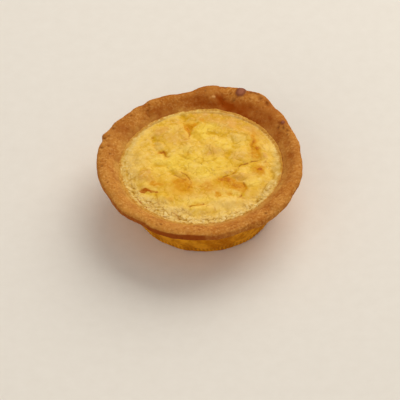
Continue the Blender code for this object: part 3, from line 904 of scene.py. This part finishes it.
# Curds: broad ones with small ones on them, and in the dry ring scales drawn out along it.
CURD_WIDTH = 0.0066
SMALL_CURD_WIDTH = 0.0026
SCALE_WIDTH = 0.0019
curds, curd_shade = curd_cells(bent_x / CURD_WIDTH, bent_y / CURD_WIDTH, 7)
plateau = smooth_step(curds, 0.0, 0.6)
joints = bell(curds, 0.07) * patchy
small_x, small_y = bent_x + 0.0005 * tiny, bent_y + 0.0005 * warp_x
small_curds, small_shade = curd_cells(small_x / SMALL_CURD_WIDTH, small_y / SMALL_CURD_WIDTH, 17)
knoll = smooth_step(small_curds, 0.0, 0.75)
curdled = smooth_step(layered_noise(skin_flat, 0.0060, 211, 2), -0.35, 0.35)
small_joints = bell(small_curds, 0.11) * smooth_step(layered_noise(skin_flat, 0.0034, 221, 2), -0.05, 0.45)
scale_turn = skin_angle * (CELLS_ROUND / (2 * math.pi)) + 0.45 * warp_x
scales, scale_shade = curd_cells(scale_turn, skin_radius / SCALE_WIDTH + 0.60 * warp_y, 27)
scale_joints = bell(scales, 0.13) * smooth_step(layered_noise(skin_flat, 0.0034, 171, 2), -0.25, 0.35)
broken = np.clip(0.20 + 1.1 * smooth_step(mottle + 0.2 * tiny, 0.30, 0.70), 0, 1)


def lines(strokes):
    """Strongest stroke at each place, strength * exp(-(distance / half width)^2), broken up by mottling."""
    near = [power * bell(distance_to_line(near_x, near_y, points), width) for width, power, points in strokes]
    return np.max(near, axis=0) * broken


CRACK_DEPTH = 0.00014
FURROW_DEPTH = 0.00012
cracks = lines(CRACKS)
furrows = lines(FURROWS)
curd_relief = 0.00020 * (plateau - 0.7) + 0.00018 * (knoll - 0.6) * curdled + 0.00010 * soft + 0.00006 * tiny
scale_relief = 0.00032 * (smooth_step(scales, 0, 0.45) - 0.6) + 0.00018 * soft + 0.00010 * tiny
relief = (1 - crumbly) * curd_relief + crumbly * scale_relief
skin_height = custard_height(skin_x, skin_y) + relief * smooth_step(from_edge, -0.0004, 0.0010)
skin_height = skin_height - CRACK_DEPTH * cracks - FURROW_DEPTH * furrows

# At its edge the custard climbs the case as a thin film with a ragged end, where it dips into the crust.
# How far up it ends: (direction, width, reach).
FILM_LEAST = 0.0001
FILM_ENDS = ((76, 30, 0.0008), (4, 16, -0.0004), (225, 48, 0.0014), (256, 8, 0.0005), (196, 8, 0.0005))
climb = (CREST_HEIGHT - MOUTH_HEIGHT) / (CREST_RADIUS - MOUTH_RADIUS)
film_end = FILM_LEAST + swells(skin_angle, FILM_ENDS) + 0.00030 * layered_noise(skin_flat, 0.0030, 181)
film = FILM_DEPTH * (smooth_step(film_end + from_edge, -0.0007, 0.0003) - 0.85)
on_slope = MOUTH_HEIGHT + climb * np.maximum(-from_edge, 0) + film + 0.00005 * tiny
outside = smooth_step(-from_edge, -0.0006, 0.0003)
skin_height = (1 - outside) * skin_height + outside * on_slope

# Below the skin the custard fills the case: rings down its wall, and a flat underside closed at its middle.
border = disc_border(CUSTARD_CELLS)
border_angle = skin_angle[border]
skirt_rings = (
    (MOUTH_RADIUS + FILM_REACH, MOUTH_HEIGHT - 0.0004),
    (MOUTH_RADIUS + 0.0002, MOUTH_HEIGHT - 0.0015),
    (FLOOR_RADIUS + 0.0005, FLOOR_HEIGHT + FLOOR_ROUND),
    (FLOOR_RADIUS - FLOOR_ROUND, FLOOR_HEIGHT - 0.0001),
)
skirt = [
    np.stack((radius * np.cos(border_angle), radius * np.sin(border_angle), np.full(len(border), height)), -1)
    for radius, height in skirt_rings
]
skin = np.stack((skin_x, skin_y, skin_height), -1)
under = np.array([(0.0, 0.0, skirt_rings[-1][1])])
custard_points = np.concatenate((skin, *skirt, under))
rims = [border, *(len(skin) + i * len(border) + np.arange(len(border)) for i in range(len(skirt)))]
sides = [np.stack((up, low, np.roll(low, -1), np.roll(up, -1)), -1) for up, low in zip(rims, rims[1:])]
middle = np.full(len(border), len(custard_points) - 1)
bottom = np.stack((middle, np.roll(rims[-1], -1), rims[-1]), -1)
faces = disc_faces(CUSTARD_CELLS).tolist() + np.concatenate(sides).tolist() + bottom.tolist()
custard_mesh = smooth_mesh("custard_filling", np.stack(uneven(*custard_points.T), -1), faces)

# Patches of colour in the skin: (x, y, half length, half width, turn, strength).
ORANGE = (
    (-0.0063, 0.0245, 0.0020, 0.0023, 0, 0.9),
    (-0.0036, 0.0257, 0.0021, 0.0012, 25, 0.8),
    (-0.0056, 0.0210, 0.0007, 0.0020, 0, 0.6),
    (0.0003, 0.0292, 0.0009, 0.0008, 0, 0.7),
    (-0.0196, -0.0108, 0.0028, 0.0014, 0, 0.7),
    (-0.0222, -0.0130, 0.0045, 0.0016, 0, 0.35),
    (-0.0078, -0.0111, 0.0038, 0.0034, 0, 0.85),
    (-0.0056, -0.0136, 0.0022, 0.0022, 0, 0.5),
    (-0.0087, -0.0150, 0.0024, 0.0016, 0, 0.35),
    (0.0097, -0.0093, 0.0027, 0.0024, 0, 0.85),
    (0.0123, -0.0105, 0.0034, 0.0025, 0, 0.7),
    (0.0158, -0.0130, 0.0042, 0.0026, -20, 0.75),
    (0.0182, -0.0130, 0.0016, 0.0024, 0, 0.5),
    (0.0075, -0.0179, 0.0015, 0.0016, 0, 0.8),
    (0.0123, -0.0179, 0.0016, 0.0012, 0, 0.65),
    (0.0026, -0.0136, 0.0036, 0.0026, 0, 0.5),
    (-0.0135, -0.0203, 0.0019, 0.0011, 0, 0.45),
    (-0.0179, -0.0173, 0.0020, 0.0010, -15, 0.4),
    (-0.0010, -0.0242, 0.0026, 0.0008, 8, 0.6),
    (0.0222, 0.0140, 0.0017, 0.0040, 0, 0.65),
    (0.0222, 0.0200, 0.0011, 0.0030, 0, 0.4),
    (0.0235, 0.0101, 0.0024, 0.0022, 0, 0.7),
    (0.0230, 0.0070, 0.0028, 0.0034, 0, 0.65),
    (0.0250, -0.0030, 0.0027, 0.0027, 0, 0.75),
    (0.0215, -0.0013, 0.0017, 0.0008, 0, 0.4),
    (0.0141, 0.0232, 0.0024, 0.0015, 0, 0.42),
    (-0.0174, 0.0084, 0.0024, 0.0009, 0, 0.6),
    (-0.0148, 0.0058, 0.0013, 0.0006, 0, 0.5),
    (-0.0065, 0.0168, 0.0013, 0.0006, 0, 0.4),
)
BROWN = (
    (-0.0243, -0.0146, 0.0020, 0.0010, -3, 0.9),
    (-0.0207, -0.0156, 0.0024, 0.0005, -20, 0.7),
    (0.0250, -0.0025, 0.0013, 0.0009, 0, 0.75),
    (0.0110, -0.0094, 0.0032, 0.0013, -10, 0.5),
    (0.0158, -0.0127, 0.0032, 0.0013, -20, 0.45),
    (0.0242, 0.0100, 0.0014, 0.0009, 0, 0.5),
    (0.0031, -0.0134, 0.0018, 0.0012, 10, 0.3),
    (-0.0080, -0.0096, 0.0020, 0.0008, 15, 0.35),
    (0.0220, 0.0143, 0.0010, 0.0010, 0, 0.5),
    (-0.0052, 0.0238, 0.0017, 0.0013, 0, 0.42),
    (-0.0174, 0.0085, 0.0014, 0.0004, 0, 0.5),
    (-0.0214, 0.0171, 0.0008, 0.0008, 0, 0.42),
    (-0.0205, 0.0125, 0.0008, 0.0007, 0, 0.35),
    (0.0123, -0.0179, 0.0009, 0.0007, 0, 0.4),
    (0.0176, -0.0200, 0.0016, 0.0005, 10, 0.45),
    (-0.0266, -0.0209, 0.0014, 0.0005, -45, 0.5),
    (-0.0288, -0.0216, 0.0013, 0.0005, -45, 0.5),
)
AMBER = (
    (-0.0080, -0.0125, 0.0052, 0.0052, 0, 1.0),
    (0.0123, -0.0120, 0.0078, 0.0040, -8, 0.7),
    (0.0023, -0.0142, 0.0040, 0.0050, 0, 0.5),
    (0.0226, 0.0122, 0.0028, 0.0096, 0, 0.6),
    (0.0250, -0.0038, 0.0030, 0.0050, 0, 0.5),
    (-0.0200, -0.0105, 0.0044, 0.0030, 0, 0.6),
    (-0.0157, -0.0166, 0.0056, 0.0036, -10, 0.35),
    (-0.0052, 0.0251, 0.0032, 0.0044, 0, 0.5),
    (0.0154, 0.0245, 0.0056, 0.0050, 0, 0.3),
)
# Tan patches on the lumps. The last ones, along the back edge, are painted shadow that the case casts on the
# custard.
PEACH_AND_CASE_SHADOW = (
    (-0.0231, -0.0068, 0.0035, 0.0032, 0, 0.9),
    (0.0163, 0.0251, 0.0095, 0.0058, -25, 0.75),
    (0.0062, 0.0294, 0.0062, 0.0030, 0, 0.75),
    (0.0053, 0.0091, 0.0044, 0.0042, 0, 0.6),
    (0.0154, 0.0054, 0.0052, 0.0036, 0, 0.65),
    (0.0172, -0.0081, 0.0046, 0.0028, 0, 0.85),
    (0.0128, -0.0044, 0.0032, 0.0017, 20, 0.65),
    (-0.0065, -0.0062, 0.0036, 0.0022, -20, 0.75),
    (-0.0150, 0.0190, 0.0085, 0.0055, 15, 0.55),
    (-0.0091, 0.0153, 0.0042, 0.0042, 0, 0.5),
    (-0.0025, 0.0306, 0.0052, 0.0027, 0, 0.65),
    (0.0023, -0.0154, 0.0072, 0.0046, 0, 0.55),
    (-0.0091, -0.0185, 0.0062, 0.0032, 0, 0.5),
    (0.0193, -0.0180, 0.0042, 0.0042, 0, 0.45),
    (0.0262, 0.0020, 0.0026, 0.0045, 0, 0.55),
    (-0.0222, 0.0061, 0.0042, 0.0042, 0, 0.35),
    (-0.0170, -0.0120, 0.0042, 0.0024, 0, 0.4),
    (0.0237, -0.0062, 0.0026, 0.0028, 0, 0.6),
    (-0.0113, 0.0275, 0.0040, 0.0022, 0, 0.6),
    (0.0088, 0.0310, 0.0100, 0.0036, -8, 0.9),
    (0.0212, 0.0240, 0.0062, 0.0034, -40, 0.8),
    (0.0268, 0.0150, 0.0030, 0.0050, 25, 0.5),
)
# Pale cream patches. The long one over the front plateau is a painted highlight over the lump's shaded front
# slope.
CREAM = (
    (-0.0183, 0.0116, 0.0016, 0.0022, 0, 0.9),
    (-0.0259, -0.0080, 0.0016, 0.0026, 0, 0.8),
    (0.0115, -0.0232, 0.0115, 0.0036, 3, 0.95),
    (0.0150, 0.0165, 0.0034, 0.0026, 0, 0.7),
    (-0.0161, -0.0209, 0.0034, 0.0022, 0, 0.7),
    (-0.0135, -0.0256, 0.0050, 0.0030, 0, 0.8),
    (0.0283, -0.0140, 0.0022, 0.0060, -20, 0.8),
    (-0.0230, 0.0230, 0.0050, 0.0030, 35, 0.6),
    (-0.0244, 0.0115, 0.0058, 0.0080, 10, 0.45),
    (-0.0040, -0.0095, 0.0030, 0.0020, -10, 0.5),
    (0.0205, -0.0100, 0.0026, 0.0030, 0, 0.5),
    (-0.0047, 0.0125, 0.0030, 0.0028, 0, 0.6),
    (-0.0280, 0.0010, 0.0034, 0.0060, 0, 0.8),
    (0.0062, 0.0175, 0.0050, 0.0018, -10, 0.5),
    (-0.0130, 0.0008, 0.0060, 0.0050, 0, 0.7),
    (0.0290, 0.0110, 0.0026, 0.0060, -20, 0.5),
    (0.0080, 0.0050, 0.0020, 0.0016, 0, 0.5),
)
LEMON = (
    (0.0010, 0.0215, 0.0060, 0.0050, 20, 0.8),
    (-0.0080, 0.0035, 0.0080, 0.0040, 10, 0.8),
    (0.0070, 0.0020, 0.0060, 0.0030, -10, 0.6),
    (0.0020, -0.0040, 0.0070, 0.0036, 10, 0.7),
    (-0.0180, 0.0000, 0.0050, 0.0040, 0, 0.5),
    (-0.0104, -0.0004, 0.0040, 0.0030, 0, 0.8),
    (0.0100, 0.0130, 0.0050, 0.0030, 20, 0.6),
    (0.0230, -0.0100, 0.0050, 0.0040, 0, 0.5),
    (-0.0150, -0.0180, 0.0060, 0.0030, -10, 0.5),
    (0.0020, -0.0210, 0.0070, 0.0020, 0, 0.5),
)
OLIVE = (
    (0.0053, 0.0208, 0.0028, 0.0015, 0, 0.85),
    (-0.0117, -0.0050, 0.0018, 0.0012, 0, 0.7),
    (-0.0189, -0.0001, 0.0015, 0.0017, 0, 0.7),
    (-0.0161, 0.0011, 0.0011, 0.0011, 0, 0.6),
    (-0.0266, 0.0061, 0.0015, 0.0032, 0, 0.45),
    (-0.0170, 0.0202, 0.0017, 0.0013, 0, 0.5),
    (-0.0091, 0.0134, 0.0011, 0.0015, 0, 0.5),
    (-0.0029, 0.0195, 0.0017, 0.0028, 0, 0.55),
    (0.0260, -0.0185, 0.0020, 0.0040, -35, 0.7),
    (-0.0179, -0.0240, 0.0015, 0.0032, 0, 0.45),
    (0.0010, 0.0130, 0.0020, 0.0040, 10, 0.4),
    (-0.0060, 0.0060, 0.0040, 0.0030, 0, 0.35),
    (0.0066, 0.0300, 0.0070, 0.0032, 0, 0.6),
    (-0.0095, -0.0125, 0.0050, 0.0042, 0, 0.55),
    (0.0230, 0.0150, 0.0020, 0.0050, 0, 0.35),
)


def patches(places, softness=0.8):
    """1 - product of (1 - strength * oval) over patches, cut ragged by an S curve of that plus mottling."""
    flat, reach = 1.1 - softness, 1.1 + softness
    left = [1 - place[-1] * near_oval(bent_x, bent_y, place[:-1], flat, reach) for place in places]
    joined = 1 - np.prod(left, axis=0)
    ragged = joined + 0.34 * (mottle - 0.5) + 0.20 * (knoll - 0.6) + 0.14 * tiny
    return joined * smooth_step(ragged, 0.02, 0.62)


def with_below(values):
    """Values of the skin, then 0 for each point below it."""
    return np.concatenate((values, np.zeros(len(custard_points) - len(skin))))


# Sides where the dry ring is duller: (direction, width, strength).
KHAKI_SIDES = ((176, 45, 1.0), (345, 28, 0.8), (4, 14, 1.0))
# How wide the crust's brown shows round the custard's edge: (direction, width, reach).
RIND_LEAST = 0.0002
RIND_WIDTHS = ((22, 36, 0.0014), (145, 28, 0.0010), (85, 30, -0.0003))

creamy = patches(CREAM)
by_creases = [bell(distance_to_line(near_x, near_y, points), 0.0009) for _, points in CREASES]
crease_near = np.max(by_creases, axis=0)
# Deeper yellow in the creases and between curds: partly the custard's own colour, partly painted shade in
# hollows.
deep_yellow_and_shade = 0.40 * (1 - plateau) * (0.3 + 0.9 * patchy) + 0.75 * crease_near * (0.3 + 0.9 * mottle)
deep_yellow_and_shade = deep_yellow_and_shade + 0.65 * (1 - knoll) * curdled * (0.3 + 0.9 * mottle) + 0.25 * np.maximum(-tiny, 0)
hem = bell(from_edge - 0.0011 - 0.0003 * soft, 0.0004) * near_direction(skin_angle, 122, 34)
hem = hem * smooth_step(layered_noise(skin_flat, 0.0050, 201, 2), -0.35, 0.3)
hem = hem + 0.9 * near_direction(skin_angle, 60, 30) * bell(from_edge - 0.0006, 0.0004) * (0.2 + 0.8 * mottle)
specks = smooth_step(noise(skin_flat, 0.0012, 191), 0.32, 0.62) * crumbly
curd_tan = 0.30 * smooth_step(curd_shade, 0.45, 1.0) * plateau
curd_tan = curd_tan + 0.35 * smooth_step(small_shade, 0.6, 1.0) * knoll * curdled + 0.2 * soft
pale_curds = 0.5 * smooth_step(0.4 - small_shade, 0.0, 0.4) * knoll * (1 - 0.5 * curdled)
khaki = 0.2 + 0.5 * swells(skin_angle, KHAKI_SIDES)
rind_width = RIND_LEAST + swells(skin_angle, RIND_WIDTHS) + 0.0006 * tiny + 0.0005 * soft
skin_amounts = {
    "lemon": patches(LEMON, 0.9),
    "amber": patches(AMBER, 0.9),
    "orange": 1.2 * patches(ORANGE, 0.6),
    "brown": patches(BROWN, 0.45),
    "tan_and_case_shadow": patches(PEACH_AND_CASE_SHADOW) * (0.65 + 0.6 * mottle) + curd_tan * (1 - 0.6 * creamy) + 0.12 * tiny,
    "olive": patches(OLIVE) * (0.35 + 0.8 * (1 - knoll) + 0.2 * mottle),
    "deep_yellow_and_shade": deep_yellow_and_shade * (1 - dry) * (1 - 0.6 * creamy),
    "cream": creamy * (0.6 + 0.6 * mottle) + pale_curds,
    "dry": dry * (1 - 0.7 * near_direction(skin_angle, 86, 34)),
    "khaki": dry * khaki * (0.2 + 1.2 * mottle),
    "shade": crumbly * scale_shade,
    "joint": 1.3 * crumbly * scale_joints,
    "crease": np.maximum(0.45 * joints, 0.55 * small_joints) * (1 - dry) * (1 - 0.7 * creamy),
    "furrow": furrows,
    "hem": hem,
    "speck": specks * (0.3 + 0.9 * mottle),
    "crack": cracks,
    "rind": smooth_step(rind_width - from_edge, -0.0004, 0.0006),
}
paint(custard_mesh, {name: with_below(amount) for name, amount in skin_amounts.items()})

set_custard = Finish("set_custard", Roughness=0.55, Specular_IOR_Level=0.10)
shown = set_custard.painted
ramped = set_custard.ramped
fleck = set_custard.grain(0.0008, 3.0, 0.6)
cloud = set_custard.grain(0.0060, 3.0, 0.55)
curdling = set_custard.grain(0.0011, 3.0, 0.65)
mottling = 0.55 + 0.75 * ramped(curdling, 0.36, 0.60)
dry_colour = set_custard.coated(
    set_custard.mixed(ramped(fleck, 0.4, 0.65), tone(232, 192, 104), tone(248, 222, 158)),
    (shown("shade") * 0.5, 214, 168, 92),
)
rind_colour = set_custard.mixed(ramped(fleck, 0.4, 0.65), tone(184, 120, 30), tone(208, 150, 54))
colour = set_custard.coated(
    set_custard.mixed(ramped(cloud, 0.34, 0.66), tone(244, 205, 96), tone(240, 193, 77)),
    (shown("cream") * 0.95, 245, 206, 115),
    # Tan, partly painted shadow of the case along the back edge.
    (shown("tan_and_case_shadow") * 0.95, 222, 164, 80),
    (shown("lemon") * 0.9, 245, 207, 70),
    (shown("deep_yellow_and_shade") * 0.9, 218, 166, 0),
    (shown("olive") * 0.8, 208, 154, 0),
    (ramped(curdling, 0.52, 0.72) * 0.45, 243, 208, 128),
    (ramped(curdling, 0.28, 0.48, 1.0, 0.0) * 0.4, 222, 164, 22),
)
colour = set_custard.coated(
    set_custard.mixed(shown("dry") * 0.9, colour, dry_colour),
    (shown("khaki"), 204, 162, 70),
    (shown("furrow") * 0.85, 192, 142, 6),
    (shown("joint"), 170, 118, 14),
    (shown("crease"), 186, 132, 0),
    (shown("speck") * 0.8, 156, 106, 30),
    (shown("amber") * (0.3 + 0.6 * fleck + 0.4 * ramped(curdling, 0.40, 0.60)), 226, 162, 26),
    (shown("orange") * mottling, 213, 143, 0),
    (shown("brown") * (0.3 + mottling), 186, 100, 2),
    (shown("crack") * 0.9, 168, 90, 0),
    (shown("hem") * 0.6, 158, 106, 30),
)
colour = set_custard.mixed(shown("rind") * 0.85, colour, rind_colour)
bump = set_custard.bumped(fleck, 0.35, 0.00018)
gloss = 0.48 + 0.25 * shown("dry") + 0.12 * cloud
set_custard.feed(set_custard.shader, {"Base Color": colour, "Normal": bump, "Roughness": gloss})
custard_mesh.materials.append(set_custard.material)
custard = put_in_scene("custard_filling", custard_mesh)
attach(custard, "root")
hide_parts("custard")


# Floor, light and camera.
# A plain pale floor under soft studio light that comes mostly from behind and to the right.

FLOOR_REACH = 3
floor_corners = [(-FLOOR_REACH, -FLOOR_REACH, 0), (FLOOR_REACH, -FLOOR_REACH, 0)]
floor_corners += [(FLOOR_REACH, FLOOR_REACH, 0), (-FLOOR_REACH, FLOOR_REACH, 0)]
floor_mesh = bpy.data.meshes.new("floor")
floor_mesh.from_pydata(floor_corners, [], [(0, 1, 2, 3)])
floor_paint = Finish("pale_floor", Roughness=0.8)
floor_grain = floor_paint.grain(0.004, 4.0, 0.6)
floor_tone = floor_paint.mixed(floor_grain, tone(226, 219, 208), tone(233, 227, 217))
floor_paint.feed(floor_paint.shader, {"Base Color": floor_tone})
floor_mesh.materials.append(floor_paint.material)
floor = put_in_scene("floor", floor_mesh)

LIGHT_AIM = (0, 0, 0.02)


def soft_light(name, place, width, power, colour):
    """A square lamp of that width, turned so that it shines from its place towards LIGHT_AIM."""
    lamp = bpy.data.lights.new(name, "AREA")
    lamp.shape = "SQUARE"
    lamp.size = width
    lamp.energy = power
    lamp.color = colour
    holder = put_in_scene(name, lamp)
    away = np.array(place) - np.array(LIGHT_AIM)
    holder.location = place
    flat = math.hypot(away[0], away[1])
    holder.rotation_euler = (math.atan2(flat, away[2]), 0, math.atan2(away[1], away[0]) + math.pi / 2)


soft_light("window", place=(0.50, 0.80, 0.95), width=1.30, power=15.0, colour=(1.0, 0.96, 0.90))
soft_light("fill", place=(-0.45, -0.80, 0.55), width=1.0, power=2.6, colour=(1.0, 0.94, 0.86))

world = bpy.data.worlds.new("studio")
world.use_nodes = True
sky = world.node_tree.nodes["Background"].inputs
sky["Color"].default_value = (1.0, 0.98, 0.95, 1.0)
sky["Strength"].default_value = 0.45
bpy.context.scene.world = world
bpy.context.scene.view_settings.view_transform = "Standard"

CAMERA_ELEVATION = math.radians(45.5)
CAMERA_DISTANCE = 2.0
METRES_PER_PIXEL = 0.0004375
IMAGE_WIDTH = 400
# Where the foot's centre falls in the picture, in pixels from its left and top edges.
FOOT_ACROSS, FOOT_DOWN = 203.8, 202.3
camera = bpy.data.cameras.new("camera")
camera.sensor_width = 36.0
camera.lens = camera.sensor_width * CAMERA_DISTANCE / (METRES_PER_PIXEL * IMAGE_WIDTH)
camera.clip_start = 0.1
camera_holder = put_in_scene("camera", camera)
aim_right = (IMAGE_WIDTH / 2 - FOOT_ACROSS) * METRES_PER_PIXEL
aim_up = (FOOT_DOWN - IMAGE_WIDTH / 2) * METRES_PER_PIXEL
camera_holder.location = (
    aim_right,
    aim_up * math.sin(CAMERA_ELEVATION) - CAMERA_DISTANCE * math.cos(CAMERA_ELEVATION),
    aim_up * math.cos(CAMERA_ELEVATION) + CAMERA_DISTANCE * math.sin(CAMERA_ELEVATION),
)
camera_holder.rotation_euler = (math.pi / 2 - CAMERA_ELEVATION, 0, 0)
bpy.context.scene.camera = camera_holder
